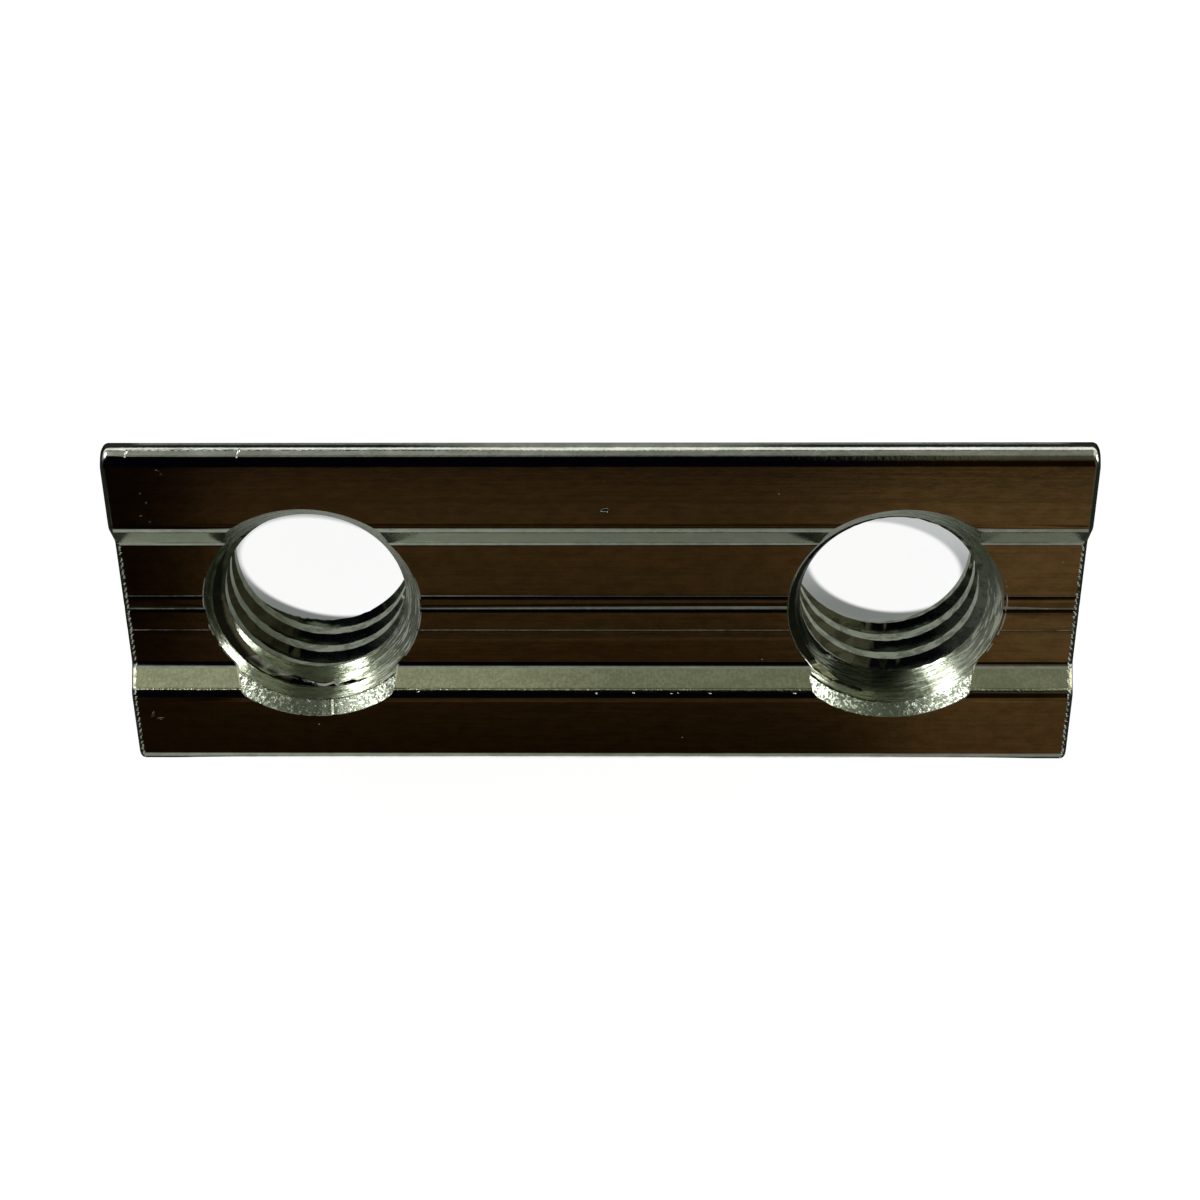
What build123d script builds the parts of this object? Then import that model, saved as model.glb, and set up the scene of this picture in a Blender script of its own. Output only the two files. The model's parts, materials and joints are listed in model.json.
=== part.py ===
"""Double T-slot nut: a grooved steel bar with two countersunk M8 holes, in millimetres.

+X runs along the slot, +Z points out of the grooved face, and the origin is
the middle of the flat boss face that the nut lies on.
"""

import os
from math import radians, tan

from build123d import *

# --- driving dimensions ----------------------------------------------------

bar_length = 36.0              # end to end, along the slot

flange_chamfer = 1.5           # lower outer corner of each flange
flange_band = 0.15             # upright band between chamfer and rounded edge
land_edge_radius = 0.6         # upper outer corner of each flange

boss_width = 9.8               # runs in a 10 mm slot
boss_height = 2.75             # boss face to clamping shoulder
boss_edge_radius = 0.8
shoulder_width = 0.55          # flat of each flange that clamps behind the slot's lip
shoulder_root_radius = 0.2     # where the boss leaves the flanges

channel_depth = 0.7            # raised lands down to the channel floor
channel_floor_width = 5.4      # between the feet of the sloping walls
channel_wall_run = 0.97        # foot to lip of one wall, across the bar
channel_foot_radius = 0.35     # hollow blend from floor to wall
channel_lip_radius = 0.5       # from wall to raised land

end_edge_radius = 0.2          # rolled edge round each sheared end

hole_pitch = 22.0
hole_shift = 0.15              # middle of the hole pair from the middle of the bar, towards +X
tap_radius = 3.4               # tapping size of an M8 coarse thread
countersink_width = 1.2        # radial, where the cone meets the raised lands
countersink_angle = 75.0
lead_in_width = 0.15           # radial, on the boss face
lead_in_angle = 120.0

# --- derived places --------------------------------------------------------

flange_height = flange_chamfer + flange_band + land_edge_radius
overall_height = boss_height + flange_height
flange_width = boss_width + 2 * (shoulder_width + flange_chamfer)
channel_floor_z = overall_height - channel_depth
countersink_depth = countersink_width / tan(radians(countersink_angle / 2))
lead_in_depth = lead_in_width / tan(radians(lead_in_angle / 2))


def half_section():
    """Corners of one half of the section, from boss face to channel floor, with radii."""
    boss_edge = boss_width / 2
    flange_edge = flange_width / 2
    channel_foot = channel_floor_width / 2
    return [
        ((0, 0), 0),
        ((boss_edge, 0), boss_edge_radius),
        ((boss_edge, boss_height), shoulder_root_radius),
        ((flange_edge - flange_chamfer, boss_height), 0),
        ((flange_edge, boss_height + flange_chamfer), 0),
        ((flange_edge, overall_height), land_edge_radius),
        ((channel_foot + channel_wall_run, overall_height), channel_lip_radius),
        ((channel_foot, channel_floor_z), channel_foot_radius),
        ((0, channel_floor_z), 0),
    ]


# --- the nut ---------------------------------------------------------------

with BuildPart() as t_slot_nut:
    # Drawn bar: one half of the section, mirrored and run along the slot.
    with BuildSketch(Plane.YZ):
        with BuildLine():
            points, radii = zip(*half_section())
            FilletPolyline(points, radius=radii[1:-1])
            mirror(about=Plane.YZ)
        make_face()
    extrude(amount=bar_length / 2, both=True)

    # Sheared ends, with the edge rolled over all the way round.
    fillet(faces().filter_by(Axis.X).edges(), end_edge_radius)

    # Tapped holes, countersunk from the raised lands through the channel walls.
    with Locations(Plane((hole_shift, 0, overall_height))):
        with GridLocations(hole_pitch, 0, 2, 1):
            CounterSinkHole(
                radius=tap_radius,
                counter_sink_radius=tap_radius + countersink_width,
                counter_sink_angle=countersink_angle,
            )

    # Lead-in of the same holes on the boss face.
    with Locations(-Plane((hole_shift, 0, 0))):
        with GridLocations(hole_pitch, 0, 2, 1):
            CounterSinkHole(
                radius=tap_radius,
                counter_sink_radius=tap_radius + lead_in_width,
                counter_sink_angle=lead_in_angle,
            )

t_slot_nut.part.label = "t_slot_nut"

os.makedirs("parts", exist_ok=True)
export_step(t_slot_nut.part, "parts/t_slot_nut.step")

thread_length = overall_height - countersink_depth - lead_in_depth
print(f"flange width {flange_width:.2f}, overall height {overall_height:.2f}")
print(f"thread from z {lead_in_depth:.3f}, length {thread_length:.3f}")
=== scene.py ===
import json
from functools import reduce
from math import atan2, cos, hypot, pi, radians, sin, tan
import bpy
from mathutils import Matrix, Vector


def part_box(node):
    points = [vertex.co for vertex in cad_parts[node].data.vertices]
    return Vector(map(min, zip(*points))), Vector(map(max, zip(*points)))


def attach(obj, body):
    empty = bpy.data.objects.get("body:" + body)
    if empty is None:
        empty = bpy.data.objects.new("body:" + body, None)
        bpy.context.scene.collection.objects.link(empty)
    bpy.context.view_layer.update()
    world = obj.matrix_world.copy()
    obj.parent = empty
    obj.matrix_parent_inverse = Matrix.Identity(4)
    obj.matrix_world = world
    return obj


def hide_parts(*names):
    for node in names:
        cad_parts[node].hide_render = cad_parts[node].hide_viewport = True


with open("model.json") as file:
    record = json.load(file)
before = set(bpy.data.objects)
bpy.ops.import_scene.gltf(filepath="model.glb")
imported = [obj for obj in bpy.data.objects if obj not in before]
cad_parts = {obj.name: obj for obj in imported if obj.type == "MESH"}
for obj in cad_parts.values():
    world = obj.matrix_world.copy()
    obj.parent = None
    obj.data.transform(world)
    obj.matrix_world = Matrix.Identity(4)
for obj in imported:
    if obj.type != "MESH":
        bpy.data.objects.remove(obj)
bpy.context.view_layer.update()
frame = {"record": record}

from types import SimpleNamespace

import bmesh
import bpy
from mathutils import Vector

mm = 0.001
print("frame loaded")


# Sizes that come with the frame

low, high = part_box("t_slot_nut")
mounts = {mount["name"]: mount for mount in frame["record"]["mounts"]}
halfLength, halfWidth, topZ = high.x, high.y, high.z
shoulderZ = mounts["shoulder_back"]["pos_m"][2]
holeCentres = [Vector(mounts[name]["pos_m"]) for name in ("thread_left", "thread_right")]
tapRadius = mounts["thread_left"]["dims"]["r_mm"] * mm


# Helpers for modelling

def startAlone():
    if bpy.context.object and bpy.context.object.mode == "EDIT":
        bpy.ops.object.mode_set(mode="OBJECT")
    bpy.ops.object.select_all(action="DESELECT")


def activate(obj):
    startAlone()
    obj.select_set(True)
    bpy.context.view_layer.objects.active = obj


def select(kind, test):
    bpy.ops.mesh.select_mode(type=kind)
    bpy.ops.mesh.select_all(action="DESELECT")
    mesh = bmesh.from_edit_mesh(bpy.context.object.data)
    items = {"VERT": mesh.verts, "EDGE": mesh.edges, "FACE": mesh.faces}[kind]
    for item in items:
        if test(item):
            item.select_set(True)
    mesh.select_flush_mode()
    bmesh.update_edit_mesh(bpy.context.object.data)
    return sum(item.select for item in items)


def near(value, target, slack=0.004 * mm):
    return abs(value - target) < slack


# Edges that run along the bar at a distance y from the middle and a height z
def edgeAt(y, z):
    return lambda edge: (
        near(edge.verts[0].co.y, edge.verts[1].co.y)
        and all(near(abs(v.co.y), y) and near(v.co.z, z) for v in edge.verts)
    )


def bisectAt(place, normal, **cut):
    bpy.ops.mesh.bisect(plane_co=place, plane_no=normal, threshold=0.0001 * mm, **cut)


def applyModifier(obj, kind, **settings):
    activate(obj)
    modifier = obj.modifiers.new(kind.title(), kind)
    for name, value in settings.items():
        setattr(modifier, name, value)
    bpy.ops.object.modifier_apply(modifier=modifier.name)


# The drawn bar

bar = {
    "flangeChamfer": 1.5 * mm,
    "flangeEdgeRadius": 0.6 * mm,
    "bossEdgeRadius": 0.8 * mm,
    "bossHalfWidth": 4.9 * mm,
    "rootRadius": 0.2 * mm,
    "channelDepth": 0.7 * mm,
    "channelFoot": 2.70 * mm,       # half width of the channel floor
    "channelLip": 3.67 * mm,        # half width at the raised lands
    "footRadius": 0.35 * mm,
    "lipRadius": 0.5 * mm,
    "endRadius": 0.2 * mm,
    "cornerRadius": 0.38 * mm,      # rounder at the corners towards +Y
    "wornStrip": 0.17 * mm,         # soft strip of each land beside the channel
    "wornDrop": 0.008 * mm,
    "cornerStart": 0.4 * mm,        # over this width beside the flat land the corners get rounder
    "dieLines": (                   # grooves in the channel floor: top, bottom and end in y, depth, all in mm
        (0.44, 0.37, 0.22, 0.015), (-0.04, -0.22, -0.36, 0.033), (-1.13, -1.17, -1.6, 0.015),
    ),
}


def roundEnds(nut):
    activate(nut)
    bpy.ops.object.mode_set(mode="EDIT")
    flatEdge = halfWidth - bar["flangeEdgeRadius"]

    def weight(edge):
        first, second = edge.verts
        if not (near(first.co.x, second.co.x) and near(abs(first.co.x), halfLength)):
            return 0
        out = min(max(((first.co.y + second.co.y) / 2 - flatEdge) / bar["cornerStart"], 0), 1)
        return (bar["endRadius"] + (bar["cornerRadius"] - bar["endRadius"]) * out) / bar["cornerRadius"]

    edges = bmesh.from_edit_mesh(nut.data).edges
    for step in sorted({round(weight(edge), 3) for edge in edges} - {0}):
        select("EDGE", lambda edge: near(weight(edge), step, 0.0006))
        bpy.ops.transform.edge_bevelweight(value=step)
    bpy.ops.object.mode_set(mode="OBJECT")
    applyModifier(
        nut, "BEVEL", limit_method="WEIGHT", width=bar["cornerRadius"], offset_type="OFFSET",
        segments=8, profile=0.5, use_clamp_overlap=False,
    )
    print("ends rounded", len(nut.data.polygons))


def makeBar():
    startAlone()
    slabHeight = topZ - shoulderZ
    bpy.ops.mesh.primitive_cube_add(
        size=1, location=(0, 0, topZ - slabHeight / 2), scale=(2 * halfLength, 2 * halfWidth, slabHeight)
    )
    nut = bpy.context.object
    nut.name = nut.data.name = "tSlotNut"
    bpy.ops.object.transform_apply(location=True, rotation=True, scale=True)
    bpy.ops.object.mode_set(mode="EDIT")

    for y in (bar["channelFoot"], bar["channelLip"], bar["bossHalfWidth"]):
        for side in (-1, 1):
            bpy.ops.mesh.select_all(action="SELECT")
            bisectAt((0, side * y, 0), (0, 1, 0))

    select("FACE", lambda f: f.normal.z > 0.5 and abs(f.calc_center_median().y) < bar["channelFoot"])
    bpy.ops.transform.translate(value=(0, 0, -bar["channelDepth"]))
    select("FACE", lambda f: f.normal.z < -0.5 and abs(f.calc_center_median().y) < bar["bossHalfWidth"])
    bpy.ops.mesh.extrude_region_move(TRANSFORM_OT_translate={"value": (0, 0, -shoulderZ)})
    bpy.ops.mesh.select_all(action="SELECT")
    bpy.ops.mesh.dissolve_limited(angle_limit=radians(1))

    wallTurn = atan2(bar["channelDepth"], bar["channelLip"] - bar["channelFoot"])
    floorZ = topZ - bar["channelDepth"]
    for y, z, offset, segments in (
        (halfWidth, shoulderZ, bar["flangeChamfer"], 1),
        (halfWidth, topZ, bar["flangeEdgeRadius"], 12),
        (bar["bossHalfWidth"], 0, bar["bossEdgeRadius"], 8),
        (bar["bossHalfWidth"], shoulderZ, bar["rootRadius"], 5),
        (bar["channelLip"], topZ, bar["lipRadius"] * tan(wallTurn / 2), 6),
        (bar["channelFoot"], floorZ, bar["footRadius"] * tan(wallTurn / 2), 6),
    ):
        count = select("EDGE", edgeAt(y, z))
        print("edge", round(y / mm, 2), round(z / mm, 2), count)
        bpy.ops.mesh.bevel(
            offset=offset, offset_type="OFFSET", segments=segments, profile=0.5, affect="EDGES",
        )

    lipEdge = bar["channelLip"] + bar["lipRadius"] * tan(wallTurn / 2)
    for side in (-1, 1):
        select("FACE", lambda f: f.normal.z > 0.9 and near(f.calc_center_median().z, topZ, 0.01 * mm))
        bisectAt((0, side * (lipEdge + bar["wornStrip"]), 0), (0, 1, 0))
    select("VERT", lambda v: near(abs(v.co.y), lipEdge) and near(v.co.z, topZ))
    bpy.ops.transform.translate(value=(0, 0, -bar["wornDrop"]))

    for top, bottom, end, depth in bar["dieLines"]:
        for y in (top, bottom, end):
            select("FACE", lambda f: f.normal.z > 0.5 and abs(f.calc_center_median().y) < bar["channelFoot"])
            bisectAt((0, y * mm, 0), (0, 1, 0))
        select("VERT", lambda v: near(v.co.y, bottom * mm, 0.002 * mm) and v.co.z > shoulderZ)
        bpy.ops.transform.translate(value=(0, 0, -depth * mm))
    bpy.ops.object.mode_set(mode="OBJECT")
    roundEnds(nut)
    print("bar made", len(nut.data.polygons))
    return nut


# The tapped and countersunk holes

hole = {
    "countersinkWidth": 1.2 * mm,
    "countersinkAngle": 75,
    "leadInWidth": 0.15 * mm,
    "leadInAngle": 120,
    "threadPitch": 1.25 * mm,
    "threadMajorRadius": 3.95 * mm,
    "threadCoreRadius": 3.25 * mm,     # inside the drilled hole, so the crests stay flat
    "threadRootFlat": 0.17 * mm,
    "threadWear": 0.04 * mm,
    "boreShift": {"left": (0, 0), "right": (-0.2, -0.14)},          # mm off the countersink
    "coneShift": {"left": (0, 0), "right": (0.08, 0)},
    "ringFoot": {"left": 4.5 * mm, "right": 4.53 * mm},            # torn ring where the cone meets the lands
    "ringShift": {"left": (0.02, 0), "right": (-0.12, -0.03)},
    "ringGrowth": {"left": 0.03 * mm, "right": 0.05 * mm},
    "ringWear": 0.02 * mm,
    "ringEnd": -1.6 * mm,              # the ring shows only further towards -Y
    "sides": 128,
    "threadSteps": 96,
    "threadStart": {"left": 0.15, "right": 0.35},                   # in turns
    "drillRise": 0.5 * mm,             # how far each cutting tool stands past the nut
    "ringRise": 0.3 * mm,
    "tapRise": 0.4 * mm,
}


def shifted(pair):
    return Vector((*pair, 0)) * mm


coneSlope = tan(radians(hole["countersinkAngle"] / 2))
coneFoot = topZ - hole["countersinkWidth"] / coneSlope


def makeDrill(centre, side):
    startAlone()
    leadInTop = hole["leadInWidth"] / tan(radians(hole["leadInAngle"] / 2))
    bpy.ops.mesh.primitive_cylinder_add(
        vertices=hole["sides"], radius=tapRadius, depth=coneFoot - leadInTop,
        location=(centre.x, centre.y, (coneFoot + leadInTop) / 2),
    )
    drill = bpy.context.object
    bpy.ops.object.transform_apply(location=True, rotation=True, scale=True)
    bpy.ops.object.mode_set(mode="EDIT")
    for up, width, angle, reach in (
        (1, hole["countersinkWidth"], hole["countersinkAngle"], topZ - coneFoot),
        (-1, hole["leadInWidth"], hole["leadInAngle"], leadInTop),
    ):
        rise = reach + hole["drillRise"]
        grown = (tapRadius + rise * tan(radians(angle / 2))) / tapRadius
        select("FACE", lambda f: f.normal.z * up > 0.9)
        bpy.ops.mesh.extrude_region_move(TRANSFORM_OT_translate={"value": (0, 0, up * rise)})
        bpy.ops.transform.resize(value=(grown, grown, 1), center_override=(centre.x, centre.y, 0))
    select("VERT", lambda v: v.co.z < coneFoot + 0.01 * mm)
    bpy.ops.transform.translate(value=shifted(hole["boreShift"][side]))
    select("VERT", lambda v: v.co.z > topZ)
    bpy.ops.transform.translate(value=shifted(hole["coneShift"][side]))
    bpy.ops.object.mode_set(mode="OBJECT")
    return drill


def makeRing(centre, side):
    startAlone()
    foot, top = hole["ringFoot"][side], topZ + hole["ringRise"]
    footRadius = tapRadius + (foot - coneFoot) * coneSlope + hole["ringGrowth"][side]
    bpy.ops.mesh.primitive_cone_add(
        vertices=hole["sides"] * 2, radius1=footRadius, radius2=footRadius + (top - foot) * coneSlope,
        depth=top - foot, location=(centre.x, centre.y, (top + foot) / 2),
    )
    ring = bpy.context.object
    bpy.ops.object.transform_apply(location=True, rotation=True, scale=True)
    bpy.ops.object.mode_set(mode="EDIT")
    bpy.ops.mesh.select_all(action="SELECT")
    bpy.ops.transform.translate(value=shifted(hole["ringShift"][side]))
    bpy.ops.transform.vertex_random(offset=hole["ringWear"], seed=len(side))
    bisectAt((0, hole["ringEnd"], 0), (0, 1, 0), use_fill=True, clear_outer=True)
    bpy.ops.object.mode_set(mode="OBJECT")
    return ring


def makeTap(centre, side):
    startAlone()
    pitch, core, major = hole["threadPitch"], hole["threadCoreRadius"], hole["threadMajorRadius"]
    flank = (major - core) * tan(radians(30))
    flat = hole["threadRootFlat"]
    crest = pitch - flat - 2 * flank
    turns = int((topZ + 3 * pitch) / pitch) + 1
    start = (hole["threadStart"][side] - 2) * pitch
    bpy.ops.mesh.primitive_plane_add(size=1 * mm, location=(0, 0, 0))
    tap = bpy.context.object
    bpy.ops.object.mode_set(mode="EDIT")
    select("VERT", lambda v: v.index > 0)
    bpy.ops.mesh.delete(type="VERT")
    bpy.ops.mesh.select_all(action="SELECT")
    mesh = bmesh.from_edit_mesh(tap.data)
    mesh.verts.ensure_lookup_table()
    first = mesh.verts[0].co.copy()
    bpy.ops.transform.translate(value=Vector((core, 0, start)) - first)
    for outward, upward in ((major - core, flank), (0, flat), (core - major, flank), (0, crest)):
        bpy.ops.mesh.extrude_vertices_move(TRANSFORM_OT_translate={"value": (outward, 0, upward)})
    bpy.ops.object.mode_set(mode="OBJECT")
    applyModifier(
        tap, "SCREW", axis="Z", angle=2 * pi, screw_offset=pitch, iterations=turns,
        steps=hole["threadSteps"], render_steps=hole["threadSteps"], use_merge_vertices=True,
        merge_threshold=0.001 * mm,
    )
    bpy.ops.object.mode_set(mode="EDIT")
    bpy.ops.mesh.select_all(action="SELECT")
    bpy.ops.mesh.remove_doubles(threshold=0.002 * mm)
    bpy.ops.transform.vertex_random(offset=hole["threadWear"], seed=len(side))
    for height, up in ((-hole["tapRise"], 1), (topZ + hole["tapRise"], -1)):
        bpy.ops.mesh.select_all(action="SELECT")
        bisectAt((0, 0, height), (0, 0, up), use_fill=True, clear_inner=True)
    bpy.ops.mesh.select_all(action="SELECT")
    bpy.ops.mesh.normals_make_consistent(inside=False)
    bpy.ops.transform.translate(value=Vector((centre.x, centre.y, 0)) + shifted(hole["boreShift"][side]))
    bpy.ops.object.mode_set(mode="OBJECT")
    return tap


def cutHoles(nut):
    for centre, side in zip(holeCentres, ("left", "right")):
        for tool in (makeDrill(centre, side), makeTap(centre, side), makeRing(centre, side)):
            applyModifier(nut, "BOOLEAN", operation="DIFFERENCE", solver="EXACT", object=tool)
            bpy.data.objects.remove(tool)
        print("hole cut", side, len(nut.data.polygons))


# Knocks and scratches

knocks = {
    "roundness": 3,
    "places": (          # middle and half sizes in mm, turn about x, y and z in degrees
        ((-17.0, 6.82, 4.8), (0.06, 0.2, 0.07), (-50, 0, -22)),
        ((-12.96, 6.82, 4.79), (0.065, 0.24, 0.07), (-52, 0, -24)),
        ((0.2, 4.57, 5.03), (0.17, 0.09, 0.07), (0, 0, 12)),
        ((0.28, 4.5, 5.0), (0.05, 0.05, 0.05), (0, 0, 0)),
        ((-0.17, -3.6, 4.97), (0.05, 0.04, 0.05), (0, 0, 0)),
        ((1.26, -3.58, 4.96), (0.06, 0.05, 0.05), (0, 0, 0)),
        ((2.7, -3.6, 4.97), (0.05, 0.05, 0.05), (0, 0, 0)),
        ((2.95, -3.57, 4.96), (0.04, 0.05, 0.04), (0, 0, 0)),
        ((4.17, -3.6, 4.97), (0.06, 0.04, 0.05), (0, 0, 0)),
        ((7.4, -3.59, 4.97), (0.07, 0.05, 0.06), (0, 0, 0)),
        ((-16.62, 5.25, 5.021), (0.06, 0.05, 0.03), (0, 0, 30)),
        ((-16.45, 4.85, 5.021), (0.05, 0.09, 0.03), (0, 0, -20)),
        ((-16.7, 4.3, 5.021), (0.08, 0.05, 0.03), (0, 0, 10)),
        ((-16.4, 4.05, 5.021), (0.05, 0.05, 0.03), (0, 0, 0)),
        ((-15.9, 6.2, 5.013), (0.14, 0.05, 0.02), (0, 0, -25)),
        ((-15.78, 6.05, 5.013), (0.05, 0.1, 0.02), (0, 0, 15)),
        ((-17.25, -4.6, 5.01), (0.05, 0.17, 0.025), (0, 0, -18)),
        ((-16.98, -4.78, 5.01), (0.16, 0.05, 0.025), (0, 0, 10)),
        ((13.9, 3.6, 4.93), (0.12, 0.04, 0.05), (0, 0, -20)),
        ((-6.9, -3.5, 4.93), (0.17, 0.035, 0.05), (0, 0, 35)),
    ),
}


def knockNut(nut):
    for place, sizes, turn in knocks["places"]:
        startAlone()
        bpy.ops.mesh.primitive_ico_sphere_add(
            subdivisions=knocks["roundness"], radius=1, location=Vector(place) * mm,
            rotation=[radians(angle) for angle in turn], scale=Vector(sizes) * mm,
        )
        tool = bpy.context.object
        bpy.ops.object.transform_apply(location=True, rotation=True, scale=True)
        applyModifier(nut, "BOOLEAN", operation="DIFFERENCE", solver="EXACT", object=tool)
        bpy.data.objects.remove(tool)
    print("knocks made", len(nut.data.polygons))


def finishNut(nut):
    activate(nut)
    bpy.ops.object.mode_set(mode="EDIT")
    bpy.ops.mesh.select_all(action="SELECT")
    bpy.ops.mesh.remove_doubles(threshold=0.0005 * mm)
    bpy.ops.mesh.select_mode(type="VERT")
    bpy.ops.mesh.select_all(action="DESELECT")
    bpy.ops.mesh.select_non_manifold()
    mesh = bmesh.from_edit_mesh(nut.data)
    print("non manifold verts", sum(v.select for v in mesh.verts), "volume mm3", mesh.calc_volume() / mm**3)
    bpy.ops.object.mode_set(mode="OBJECT")
    bpy.ops.object.shade_smooth_by_angle(angle=radians(16))
    applyModifier(nut, "WEIGHTED_NORMAL", keep_sharp=True, mode="FACE_AREA", weight=50)
    print("triangles", sum(len(p.vertices) - 2 for p in nut.data.polygons))


nut = makeBar()
cutHoles(nut)
knockNut(nut)
finishNut(nut)


# Materials

def listed(*items):
    return dict(enumerate(items))


class Value:
    def __init__(self, shader, socket):
        self.shader = shader
        self.socket = socket

    def maths(self, operation, *items):
        node = self.shader.node("ShaderNodeMath", {"operation": operation}, listed(*items))
        return Value(self.shader, node.outputs[0])

    def __add__(self, other):
        return self.maths("ADD", self, other)

    def __radd__(self, other):
        return self.maths("ADD", other, self)

    def __sub__(self, other):
        return self.maths("SUBTRACT", self, other)

    def __rsub__(self, other):
        return self.maths("SUBTRACT", other, self)

    def __mul__(self, other):
        return self.maths("MULTIPLY", self, other)

    def __rmul__(self, other):
        return self.maths("MULTIPLY", other, self)

    def __truediv__(self, other):
        return self.maths("DIVIDE", self, other)

    def __pow__(self, other):
        return self.maths("POWER", self, other)

    def __abs__(self):
        return self.maths("ABSOLUTE", self)

    def most(self, other):
        return self.maths("MAXIMUM", self, other)

    def least(self, other):
        return self.maths("MINIMUM", self, other)

    def over(self, edge, soft):        # 0 below the edge, 1 above it
        return self.shader.remap(self, edge - soft, edge + soft)

    def under(self, edge, soft):
        return self.shader.remap(self, edge + soft, edge - soft)

    def band(self, middle, halfWidth, soft):
        return abs(self - middle).under(halfWidth, soft)


class Shader:
    def __init__(self, tree):
        self.tree = tree
        self.tree.nodes.clear()

    def node(self, kind, settings={}, sockets={}):
        node = self.tree.nodes.new(kind)
        for name, setting in settings.items():
            if name == "stops":
                self.setStops(node.color_ramp, setting)
            else:
                setattr(node, name, setting)
        for name, item in sockets.items():
            if isinstance(item, Value):
                self.tree.links.new(item.socket, node.inputs[name])
            elif isinstance(item, bpy.types.NodeSocket):
                self.tree.links.new(item, node.inputs[name])
            else:
                node.inputs[name].default_value = item
        return node

    def setStops(self, ramp, stops):
        while len(ramp.elements) < len(stops):
            ramp.elements.new(0.5)
        for element, (place, colour) in zip(ramp.elements, stops):
            element.position = place
            element.color = (*colour, 1)

    def value(self, node, output=0):
        return Value(self, node.outputs[output])

    def remap(self, value, start, end):
        smooth = {"interpolation_type": "SMOOTHSTEP"}
        node = self.node("ShaderNodeMapRange", smooth, listed(value, start, end))
        return self.value(node)

    def split(self, vector):
        node = self.node("ShaderNodeSeparateXYZ", {}, listed(vector))
        return [self.value(node, axis) for axis in range(3)]

    def join(self, x, y, z):
        return self.node("ShaderNodeCombineXYZ", {}, listed(x, y, z)).outputs[0]

    def mix(self, share, first, second, blend="MIX"):
        node = self.node(
            "ShaderNodeMix", {"data_type": "RGBA", "blend_type": blend}, {0: share, 6: first, 7: second}
        )
        return node.outputs[2]

    def noise(self, vector, scale, detail=2.0, roughness=0.5):
        node = self.node("ShaderNodeTexNoise", {}, {
            "Vector": vector, "Scale": scale, "Detail": detail, "Roughness": roughness,
        })
        return self.value(node)

    def bump(self, height, strength, distance):
        sockets = {"Height": height, "Strength": strength, "Distance": distance}
        return self.node("ShaderNodeBump", {}, sockets).outputs[0]


def toLinear(r, g, b):
    return tuple(c / 255 / 12.92 if c <= 10 else ((c / 255 + 0.055) / 1.055) ** 2.4 for c in (r, g, b))


def tone(r, g, b):
    return (*toLinear(r, g, b), 1)


# From x in mm: 1 where the right hole is nearer, and the distance along the bar from the nearer hole's axis
def nearerHole(x):
    leftX, rightX = (centre.x / mm for centre in holeCentres)
    middle, reach = (leftX + rightX) / 2, (rightX - leftX) / 2
    isRight = x.over(middle, 0.01)
    return isRight, x - middle - reach * (isRight * 2 - 1)


# The plating, sizes in mm

zinc = {
    "bright": tone(231, 231, 228),       # plating on the drawn faces
    "worn": tone(196, 197, 190),         # patches of it
    "rose": tone(240, 226, 222),         # faint tints of it
    "olive": tone(224, 232, 222),
    "tintShare": 0.35,
    "dull": tone(205, 208, 196),         # channel walls and cut surfaces
    "green": tone(196, 205, 190),
    "machined": tone(106, 111, 95),      # countersinks
    "machinedPale": tone(174, 180, 164),
    "coneDark": tone(98, 104, 82),
    "tornDark": tone(118, 124, 110),     # torn rings at the countersinks
    "tornLight": tone(222, 228, 214),
    "farWall": tone(232, 228, 192),      # channel wall towards -Y, pale as painted light
    "farWallDark": tone(176, 174, 142),
    "grooveShade": tone(34, 38, 28),          # painted shade in the thread running out through the countersink, and on the rims of the ends
    "endGlint": (1, 1, 0.95, 1),             # painted highlight in dashes along the rounded ends
    "flatRoughness": 0.09,
    "wallRoughness": 0.15,
    "coneRoughness": 0.16,
    "threadRoughness": 0.12,
    "tornRoughness": 0.24,
    "endRoughness": 0.24,
    "hairRoughness": 0.45,
    "speckRoughness": 0.6,
    "faceZ": 3.9,                        # wear, the painted shade on the end rims and the painted end highlights are only above this height
    "drag": (4.92, 0.08),                # duller streak on a land: middle and half width in y
    # painted shade along the die-line grooves: middle and half width in y
    "dieLines": ((0.37, 0.07), (-0.21, 0.08), (-1.15, 0.06)),
    "grooveTop": 4.22,
    "nearRound": 6.4,                    # y where the rounded edge towards +Y begins
    "endWidth": 0.16,
    "rimWidth": 0.09,
    "tickPlace": 0.13,                   # from each end
    "tickWidth": 0.028,
    "ticksPerMm": 3.8,
    "speckSpread": 1.15,
    "speckRadius": 0.028,
    "turnedHeight": 0.028,
    "farWallLean": 0.28,                 # rise per mm that turns the light on the wall towards -Y
}


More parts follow.
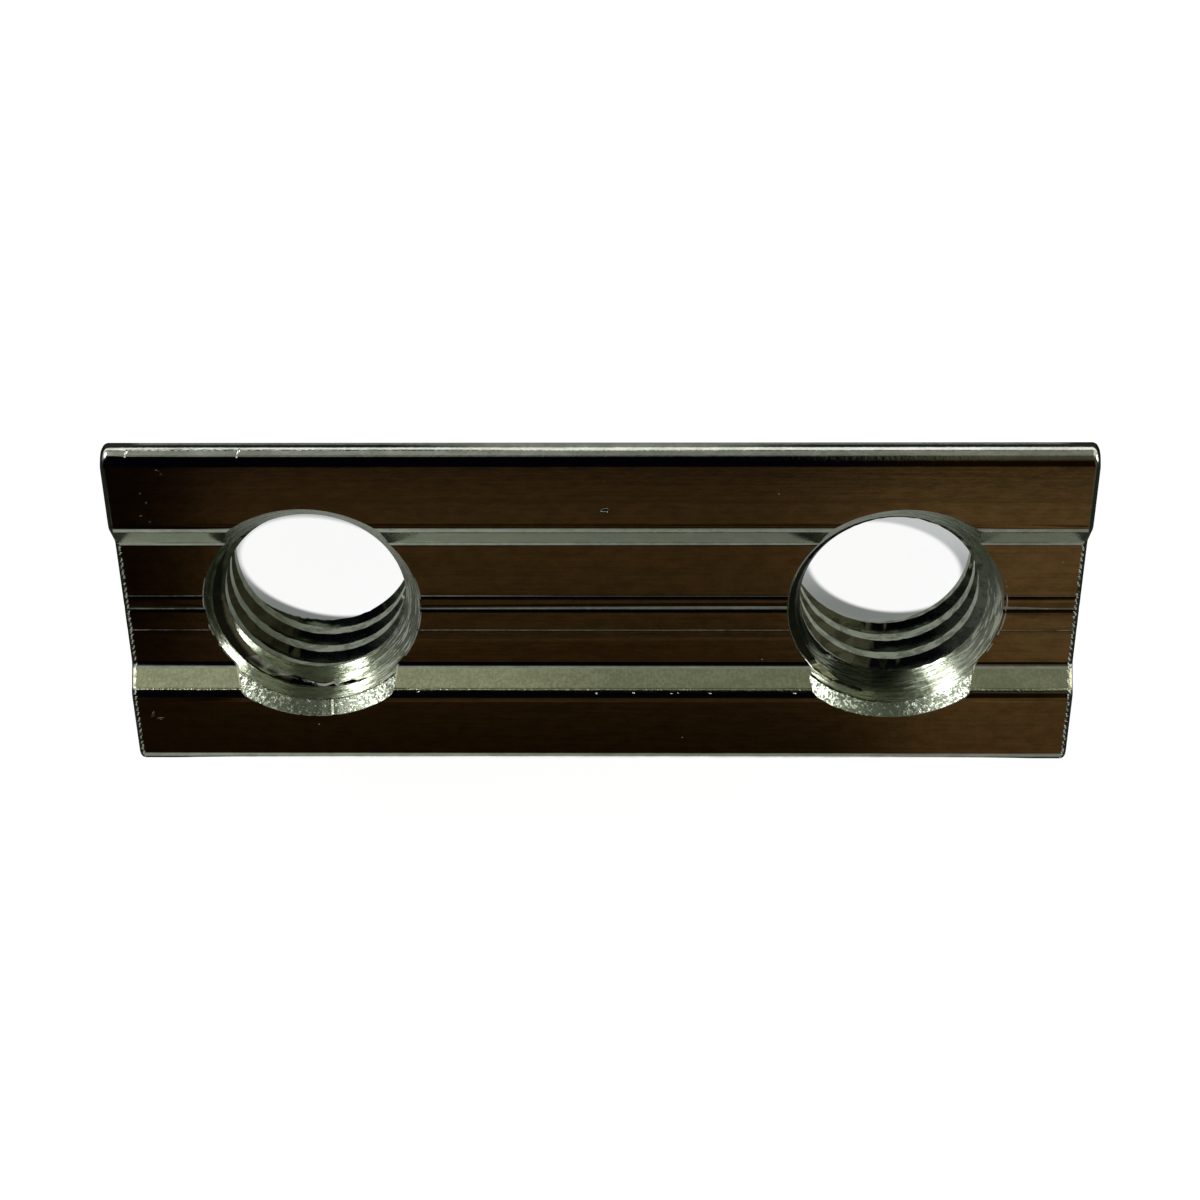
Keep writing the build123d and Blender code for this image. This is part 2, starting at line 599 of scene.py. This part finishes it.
# Where each kind of surface is, from its place on the nut in mm
def surfacePlaces(s, x, y, z, fine, mottle):
    isRight, holeX = nearerHole(x)
    holeR = (holeX * holeX + y * y) ** 0.5
    footZ = coneFoot / mm
    coneR = (z - footZ) * coneSlope + tapRadius / mm
    steep = s.split(s.node("ShaderNodeNewGeometry").outputs["True Normal"])[2].under(0.74, 0.03)
    inHole = (coneR - holeR).over(-0.22, 0.01) * steep
    thread = holeR.under(4.3, 0.01) * z.under(footZ + 0.02, 0.02) * z.over(0.02, 0.01)
    cone = inHole * z.over(footZ, 0.02)
    outside = 1 - inHole.most(thread)
    face = z.over(zinc["faceZ"], 0.05)
    away, foot, lip = abs(y), bar["channelFoot"] / mm, bar["channelLip"] / mm
    wall = away.over(foot + 0.14, 0.03) * away.under(lip - 0.13 + (fine - 0.5) * 0.16, 0.02) * face * outside
    leftFoot, rightFoot = (hole["ringFoot"][side] / mm for side in ("left", "right"))
    ringFoot = leftFoot + isRight * (rightFoot - leftFoot)
    fromEnd = halfLength / mm - abs(x)
    # painted highlight in dashes along each rounded end, on a small raised ridge
    dashWave = y * zinc["ticksPerMm"] + fine * 1.8
    tick = dashWave.maths("FRACT", dashWave)
    endGlint = abs(fromEnd - tick * 0.1 - zinc["tickPlace"]).under(zinc["tickWidth"], 0.014)
    endGlint = endGlint * tick.band(0.45, 0.34, 0.1)
    burr = (holeR - coneR).band(0.035, 0.02, 0.012) * (1 - steep) * y.under(1, 1)
    dieLineShade = reduce(Value.most, (y.band(middle, half, 0.03) for middle, half in zinc["dieLines"]))
    return SimpleNamespace(
        isRight=isRight, holeX=holeX, holeR=holeR, sideways=holeX / holeR, thread=thread, cone=cone,
        outside=outside, wall=wall, farWall=wall * y.under(0, 0.1),
        end=fromEnd.under(zinc["endWidth"] - (fine - 0.5) * 0.1, 0.03) * outside,
        endRimShade=fromEnd.band(zinc["rimWidth"], zinc["rimWidth"], 0.03) * outside * face * (1 - wall),
        endGlint=endGlint * mottle.over(0.4, 0.08) * outside * face * y.under(2.9, 0.2),
        burr=burr * mottle.over(0.46, 0.05) * face,
        torn=cone * (z - ringFoot + (fine - 0.5) * 0.12).over(0, 0.03) * y.under(-0.8, 0.5),
        dieLineShade=dieLineShade * outside * z.over(4.22, 0.02) * ((0 - x).over(8, 4) * 0.35 + 0.25),
        grooveShade=(holeR - coneR).over(0.09, 0.04) * z.over(footZ, 0.03) * z.under(zinc["grooveTop"], 0.03),
        nearRound=y.over(zinc["nearRound"], 0.05) * outside,
        lipEdge=away.over(lip - 0.22, 0.05),
        lipBurr=(0 - y).band(lip - 0.17, 0.03, 0.03) * outside * face,
        lean=(0 - y - foot).most(0).least(lip - foot - 0.12) * outside,
    )


def zincColour(s, at, marks, x, y, z):
    tint = s.mix(s.remap(marks.blotch, 0.35, 0.65), zinc["rose"], zinc["olive"])
    colour = s.mix(zinc["tintShare"], s.mix(marks.shade, zinc["worn"], zinc["bright"]), tint, "MULTIPLY")
    broken = s.remap(s.noise(s.join(x * 1.5, y, z), 3, 3, 0.6), 0.4, 0.6) * 0.7 + 0.5
    # painted shade along the die-line grooves, broken by noise and stronger towards -X
    colour = s.mix(at.dieLineShade * broken, colour, zinc["coneDark"])
    cut = s.mix(s.remap(marks.turned, 0.35, 0.65), zinc["dull"], zinc["green"])
    colour = s.mix((at.wall + at.thread + at.end).under(0.5, 0.5), cut, colour)

    # threads and countersinks
    colour = s.mix(at.thread * marks.mottle.over(0.52, 0.08) * 0.6, colour, zinc["machined"])
    shaded = at.thread * (1 - at.isRight) * at.sideways.under(-0.3, 0.25)
    colour = s.mix(shaded * 0.7, colour, zinc["coneDark"])
    machined = s.mix(s.remap(marks.turned, 0.4, 0.6), zinc["machined"], zinc["machinedPale"])
    # painted light: the +X side of each countersink made paler
    machined = s.mix(at.aside * 0.6, machined, zinc["dull"])
    # painted shade in the middle of the countersink's side towards -Y
    machined = s.mix(at.sideways.band(-0.2, 0.42, 0.2) * y.under(0, 1) * 0.85, machined, zinc["coneDark"])
    colour = s.mix(at.cone, colour, s.mix(at.scratch, machined, zinc["tornLight"]))
    # painted shade in the thread grooves running out through the countersink
    colour = s.mix(at.grooveShade * 0.9, colour, zinc["grooveShade"])
    fleck = (marks.fine * 0.85 + marks.grit * 0.15 + abs(at.holeX) * 0.05).over(0.63, 0.06)
    colour = s.mix(at.torn, colour, s.mix(fleck, zinc["tornDark"], zinc["tornLight"]))

    # the wall towards -Y, pale as painted light, with painted shade towards +X and the lip as well as grain,
    # and painted shade and highlights at the ends
    grain = s.remap(marks.fine * 0.6 + marks.mottle * 0.4, 0.38, 0.62)
    farWallShadeAndGrain = x.over(-1.5, 3) * 0.6 + grain * 0.5 + at.lipEdge * 0.7
    colour = s.mix(at.farWall * 0.85, colour, s.mix(farWallShadeAndGrain, zinc["farWall"], zinc["farWallDark"]))
    # painted shade along the rims of the ends
    colour = s.mix(at.endRimShade * 0.75, colour, zinc["grooveShade"])
    # painted highlight along the rounded ends
    return s.mix(at.endGlint, colour, zinc["endGlint"])


def zincRoughness(at, marks):
    flat = zinc["flatRoughness"]
    rough = flat - at.nearRound * 0.05 + at.wall * (zinc["wallRoughness"] - flat)
    rough = rough + at.cone * (zinc["coneRoughness"] - flat) + at.thread * (zinc["threadRoughness"] - flat)
    rough = rough + at.torn * (zinc["tornRoughness"] - zinc["coneRoughness"])
    rough = rough + at.end * (zinc["endRoughness"] - flat)
    rough = rough + marks.speck * zinc["speckRoughness"] + (at.endGlint + at.burr) * zinc["hairRoughness"]
    return rough + marks.fine * 0.03


# Fine relief, in mm
def zincHeight(at, marks):
    height = marks.streak * 0.0005 + marks.mottle * 0.0014 + at.endGlint * 0.01
    height = height + marks.turned * (at.cone * (zinc["turnedHeight"] - at.torn * 0.018) + at.thread * 0.005)
    rough = at.nearRound * 0.003 + at.wall * 0.002 + at.farWall * 0.006 + at.lipBurr * 0.04
    height = height + marks.fine * rough + (marks.fine + marks.grit * 0.5) * at.torn * 0.02
    return height + at.lean * zinc["farWallLean"]


def makeZinc():
    material = bpy.data.materials.new("zincPlate")
    material.use_nodes = True
    s = Shader(material.node_tree)
    place = s.node("ShaderNodeTexCoord").outputs["Object"]
    inMm = s.node("ShaderNodeVectorMath", {"operation": "SCALE"}, {0: place, "Scale": 1 / mm}).outputs[0]
    x, y, z = s.split(inMm)

    # streaks drawn along the bar, soft mottling, tints and grit
    fine = s.noise(inMm, 8, 3, 0.6)
    grit = s.noise(inMm, 15, 3, 0.7)
    mottle = s.noise(s.join(x * 0.9, y * 1.6, z * 1.6), 1.5, 3, 0.6)
    wavy = y + (mottle - 0.5) * 0.12
    streak = s.noise(s.join(x * 0.15, wavy * 5, z * 5), 1.6, 3, 0.6)
    dragMiddle, dragHalf = zinc["drag"]
    drag = y.band(dragMiddle + (mottle - 0.5) * 0.2, dragHalf, 0.08) * mottle.over(0.42, 0.1)
    shade = s.remap(streak * 0.3 + mottle * 0.5 + fine * 0.2 - drag * 0.1, 0.36, 0.62)
    blotch = s.noise(s.join(x * 0.5 + 7, y * 1.1, z), 1.2, 2, 0.5)

    at = surfacePlaces(s, x, y, z, fine, mottle)
    cells = s.node("ShaderNodeTexVoronoi", {}, {
        "Vector": s.join(x * 0.8, y, z), "Scale": zinc["speckSpread"],
    })
    chosen = s.split(cells.outputs["Color"])[0].over(0.62, 0.02)
    speck = s.value(cells, "Distance").under(zinc["speckRadius"], 0.012) * chosen * at.outside

    # turned marks round each hole, scratches across its +X side, and painted light on that side
    turned = s.noise(s.join(at.sideways * 2 + at.isRight * 5, y / at.holeR * 2, z * 3.5), 2.2, 4, 0.65)
    lines = s.noise(s.join(at.sideways * 2 + at.isRight * 5, y / at.holeR * 2, z * 9), 1.8, 3, 0.6)
    at.aside = at.sideways.over(0.7, 0.25)
    at.scratch = (lines + at.sideways * 0.1).over(0.62, 0.03) * at.cone * at.sideways.over(0.2, 0.35)
    at.scratch = at.scratch * y.under(0.8, 0.8)

    # less metallic where marks look pale from every side, where the end highlights are painted, and on the +X
    # side of each hole as painted light
    pale = at.endGlint * 0.9 + speck * 0.5 + at.burr * 0.8 + at.scratch * 0.45
    metal = (1 - pale - at.aside * (at.cone * 0.35 + at.thread * 0.3)).most(0)
    marks = SimpleNamespace(
        fine=fine, grit=grit, mottle=mottle, streak=streak, shade=shade, blotch=blotch, turned=turned,
        speck=speck,
    )
    surface = s.node("ShaderNodeBsdfPrincipled", {}, {
        "Base Color": zincColour(s, at, marks, x, y, z), "Metallic": metal,
        "Roughness": zincRoughness(at, marks), "Normal": s.bump(zincHeight(at, marks), 1.0, mm),
    })
    s.node("ShaderNodeOutputMaterial", {}, {"Surface": surface.outputs[0]})
    return material


nut.data.materials.clear()
nut.data.materials.append(makeZinc())
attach(nut, "root")
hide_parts("t_slot_nut")
print("material made")


# Floor, light and camera

studio = {
    "floorSize": 1.5,
    "floorGlow": 0.93,                          # seen straight
    "floorDark": tone(138, 143, 136),           # what the side towards +Y reflects
    "floorBright": (1.16, 1.17, 1.13, 1),
    "floorShadow": tone(36, 41, 38),
    "brightReach": (0.0159, 0.074, 0.04),       # bright reflection towards +Y: start, end, end at the left
    "poolPlace": (-0.05, -1.05),                # mm from each hole, where light falls through it
    "poolSizes": (3.09, 2.02),
    "poolTurn": -14,
    "poolShade": (tone(112, 116, 115), tone(186, 190, 190)),
    "floorUnder": tone(152, 155, 148),          # reflected from under the nut
    "floorBeside": tone(44, 47, 41),            # and beside its ends
    "reflectance": 0.66,                        # of the nut, so the cards are made brighter by it
    "cameraPlace": (1.359, 48.607, 78.616),     # mm
    "cameraTurn": (-33.074, 0.748, -0.471),     # degrees
    "lens": 70.90,
}

# Plain cards that stand round the nut
cards = {
    "wall": (110, 114, 105),
    "wallPale": (125, 130, 120),
    "board": (58, 41, 20),
    "boardPale": (85, 65, 38),
    "boardEdge": (15, 7, 1),
    "gap": (2, 2, 5),
    "glow": (65, 63, 50),
    "sidePale": (190, 195, 180),
    "sideDim": (52, 55, 46),
}

# Which card is at each angle: they run from -Y over the top to +Y, and 0 is overhead
sky = {
    "angles": (-120, -57, -49, -36, -30.5, -29.3, 12, 32, 46, 58, 120),
    "left": (
        "wallPale", "wallPale", "boardEdge", "boardEdge", "board", "gap", "gap", "gap", "gap",
        "wallPale", "wallPale",
    ),
    "centre": (
        "wall", "wall", "boardEdge", "boardEdge", "board", "gap", "gap", "gap", "gap", "wall", "wall",
    ),
    "right": (
        "wall", "wall", "board", "board", "boardPale", "boardEdge", "boardEdge", "glow", "glow",
        "wall", "wall",
    ),
    "leftSide": (
        "wall", "sideDim", "sideDim", "sideDim", "boardEdge", "gap", "gap", "gap", "wall",
        "sidePale", "sidePale",
    ),
    "rightSide": (
        "wall", "sideDim", "sideDim", "sideDim", "glow", "glow", "glow", "glow", "wall",
        "sidePale", "sidePale",
    ),
    "leftReach": (-0.01, -0.09),         # sideways direction where each row takes over
    "rightReach": (0.05, 0.14),          # for the browns
    "rightEdge": (0.098, 0.122),         # for the rest
    "sideReach": (0.26, 0.42),
    "sideCard": (0.88, 0.05),            # dim grey low down past the ends
    "sideCardColour": tone(112, 116, 106),
    "leftEnd": (-0.19, -0.17),           # browns fade to black towards the left end
    "leftEndColour": (0.003, 0.001, 0, 1),
    "boardMiddle": -31.7,                # degrees, with half width and softness
    "boardHalf": 3.4,
    "boardSoft": 0.3,
    "lamps": (((-0.64, 0.71, 0.28), 0.97, 0.992), ((0.93, 0.27, 0.22), 0.963, 0.992)),
    "lampStrength": 8,
}


def skyStops(name):
    keep = studio["reflectance"]
    return [
        (0.5 + angle / 360, tuple(part / keep for part in toLinear(*cards[card])))
        for angle, card in zip(sky["angles"], sky[name])
    ]


def makeFloor():
    startAlone()
    bpy.ops.mesh.primitive_plane_add(size=studio["floorSize"], location=(0, 0, 0))
    floor = bpy.context.object
    floor.name = "floor"
    material = bpy.data.materials.new("paleFloor")
    material.use_nodes = True
    s = Shader(material.node_tree)
    seen = s.node("ShaderNodeLightPath").outputs["Is Camera Ray"]
    x, y = s.split(s.node("ShaderNodeTexCoord").outputs["Object"])[:2]

    # what the nut reflects
    start, end, endLeft = studio["brightReach"]
    end = end - (0 - x).over(0.005, 0.005) * (end - endLeft)
    bright = (y.over(start, 0.0015) * y.under(end, 0.004)).most(y.under(-0.002, 0.004))
    shadow = abs(x).over(0.0055, 0.003) * y.over(0.0097, 0.0004)
    mirrored = s.mix(shadow, studio["floorDark"], studio["floorShadow"])
    mirrored = s.mix(bright, mirrored, studio["floorBright"])
    underNut = abs(x).under(halfLength - 1 * mm, 0.1 * mm) * abs(y).under(3.9 * mm, 0.05 * mm)
    mirrored = s.mix(underNut, mirrored, studio["floorUnder"])
    beside = abs(x).over(halfLength - 0.3 * mm, 0.4 * mm) * y.under(0.012, 0.002)
    mirrored = s.mix(beside, mirrored, studio["floorBeside"])

    # light falling on it through the holes, in mm
    isRight, across = nearerHole(x / mm)
    across, along = across - studio["poolPlace"][0], y / mm - studio["poolPlace"][1]
    turnCos, turnSin = cos(radians(studio["poolTurn"])), sin(radians(studio["poolTurn"]))
    longWay = (across * turnCos + along * turnSin) / studio["poolSizes"][0]
    shortWay = (along * turnCos - across * turnSin) / studio["poolSizes"][1]
    pool = ((longWay * longWay + shortWay * shortWay) ** 0.5 + isRight * 0.1).under(1.1, 0.05)
    glow = studio["floorGlow"]
    dim = s.mix(s.remap(y, -0.003, 0.001), *studio["poolShade"])
    plain = s.mix(underNut * (1 - pool), (glow, glow, glow, 1), dim)
    colour = s.mix(seen, mirrored, plain)
    lamp = s.node("ShaderNodeEmission", {}, {"Color": colour, "Strength": 1.0})
    matt = s.node("ShaderNodeBsdfDiffuse", {}, {"Color": (0.5, 0.5, 0.5, 1)})
    both = s.node("ShaderNodeAddShader", {}, listed(lamp.outputs[0], matt.outputs[0]))
    surface = s.node("ShaderNodeMixShader", {}, listed(seen, lamp.outputs[0], both.outputs[0]))
    s.node("ShaderNodeOutputMaterial", {}, {"Surface": surface.outputs[0]})
    floor.data.materials.append(material)


def makeWorld():
    world = bpy.data.worlds.new("studioLight")
    bpy.context.scene.world = world
    world.use_nodes = True
    s = Shader(world.node_tree)
    direction = s.node("ShaderNodeTexCoord").outputs["Generated"]
    x, y, z = s.split(direction)
    turn = y.maths("ARCTAN2", y, z) / (2 * pi) + 0.5         # 0.5 is straight up, more is towards +Y
    bands = {
        name: s.node("ShaderNodeValToRGB", {"stops": skyStops(name)}, listed(turn)).outputs[0]
        for name in ("left", "centre", "right", "leftSide", "rightSide")
    }
    brown = turn.band(0.5 + sky["boardMiddle"] / 360, sky["boardHalf"] / 360, sky["boardSoft"] / 360)
    colour = s.mix(s.remap(x, *sky["leftReach"]), bands["centre"], bands["left"])
    colour = s.mix(s.remap(x, *sky["rightEdge"]), colour, bands["right"])
    colour = s.mix(brown * s.remap(x, *sky["rightReach"]), colour, bands["right"])
    colour = s.mix(1 - brown * (1 - s.remap(x, *sky["leftEnd"])), sky["leftEndColour"], colour)
    beside = s.mix(x.over(0, 0.01), bands["leftSide"], bands["rightSide"])
    colour = s.mix(s.remap(abs(x), *sky["sideReach"]), colour, beside)
    low = abs(x).over(*sky["sideCard"]) * z.over(0.2, 0.1)
    colour = s.mix(low, colour, sky["sideCardColour"])
    light = 0
    for aim, start, end in sky["lamps"]:
        length = hypot(*aim)
        towards = s.node("ShaderNodeVectorMath", {"operation": "DOT_PRODUCT"}, {
            0: direction, 1: tuple(part / length for part in aim),
        })
        light = s.remap(s.value(towards, "Value"), start, end) + light
    strength = light * sky["lampStrength"]
    colour = s.mix(1.0, colour, s.join(strength, strength, strength), "ADD")
    mirrored = s.node("ShaderNodeBackground", {}, {"Color": colour, "Strength": 1.0})
    plain = s.node("ShaderNodeBackground", {}, {"Color": (1, 1, 1, 1), "Strength": 1.0})
    seen = s.node("ShaderNodeLightPath").outputs["Is Camera Ray"]
    both = s.node("ShaderNodeMixShader", {}, listed(seen, mirrored.outputs[0], plain.outputs[0]))
    s.node("ShaderNodeOutputWorld", {}, {"Surface": both.outputs[0]})


def makeCamera():
    bpy.ops.object.camera_add(
        location=Vector(studio["cameraPlace"]) * mm,
        rotation=[radians(angle) for angle in studio["cameraTurn"]],
    )
    camera = bpy.context.object
    camera.data.lens = studio["lens"]
    camera.data.sensor_width = 36
    camera.data.clip_start, camera.data.clip_end = 0.001, 10
    bpy.context.scene.camera = camera
    bpy.context.scene.view_settings.view_transform = "Standard"


makeFloor()
makeWorld()
makeCamera()
print("studio made")
